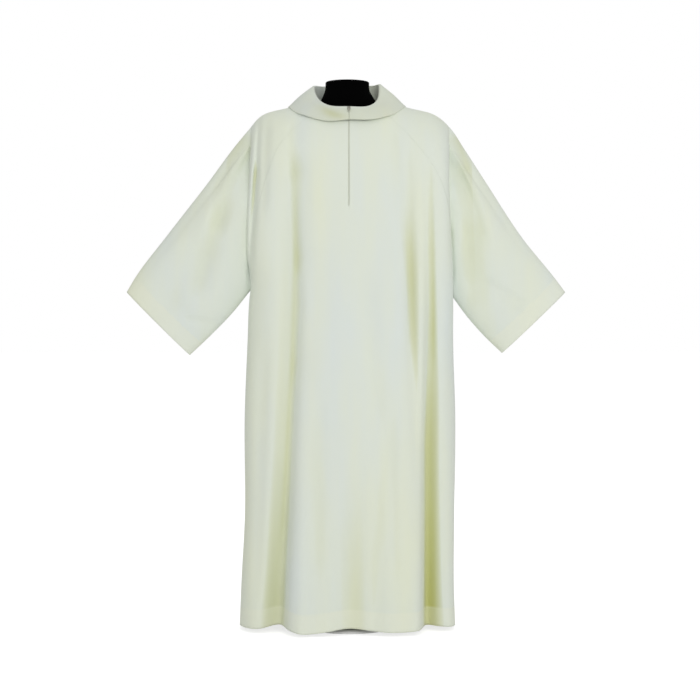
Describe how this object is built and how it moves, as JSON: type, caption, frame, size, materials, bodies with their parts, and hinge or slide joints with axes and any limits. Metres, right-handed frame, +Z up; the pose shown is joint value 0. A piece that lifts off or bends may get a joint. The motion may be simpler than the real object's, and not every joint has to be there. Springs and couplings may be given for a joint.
{
  "type": "zip-front alb robe on a limbless dress form",
  "caption": "Ivory alb robe with raglan sleeves, turned-down roll collar and short front zip, hung on a black limbless dress form with a round foot.",
  "frame": {"origin": "On the floor, under the middle of the stand's round foot.", "axes": "+Z is up. -Y is the front of the robe, with the zip. +X is to the right of somebody who looks at the front."},
  "size_m": [1.2266, 0.3289, 1.5282],
  "materials": {
    "ivory_cloth": "plain woven, matt",
    "zip_cloth": "woven tape, matt",
    "zip_plastic": "moulded coil",
    "zip_metal": "satin enamel",
    "black_jersey": "tight jersey cover, matt",
    "pale_enamel": "satin enamel"
  },
  "bodies": {
    "robe": {"front_panel": "ivory_cloth", "back_panel": "ivory_cloth", "sleeve_left": "ivory_cloth", "sleeve_right": "ivory_cloth", "collar": "ivory_cloth", "zip_tape": "zip_cloth", "zip_chain": "zip_plastic", "zip_slider": "zip_metal", "dress_form": "black_jersey", "stand_pole": "pale_enamel", "stand_foot": "pale_enamel"},
    "pull_tab": {"zip_pull": "zip_metal"}
  },
  "joints": [
    {"name": "pull_tab_hinge", "type": "hinge", "parent": "robe", "child": "pull_tab", "pos_m": [0, -0.11059, 1.43955], "axis": [-1, 0, 0], "range_deg": [0, 160]}
  ]
}
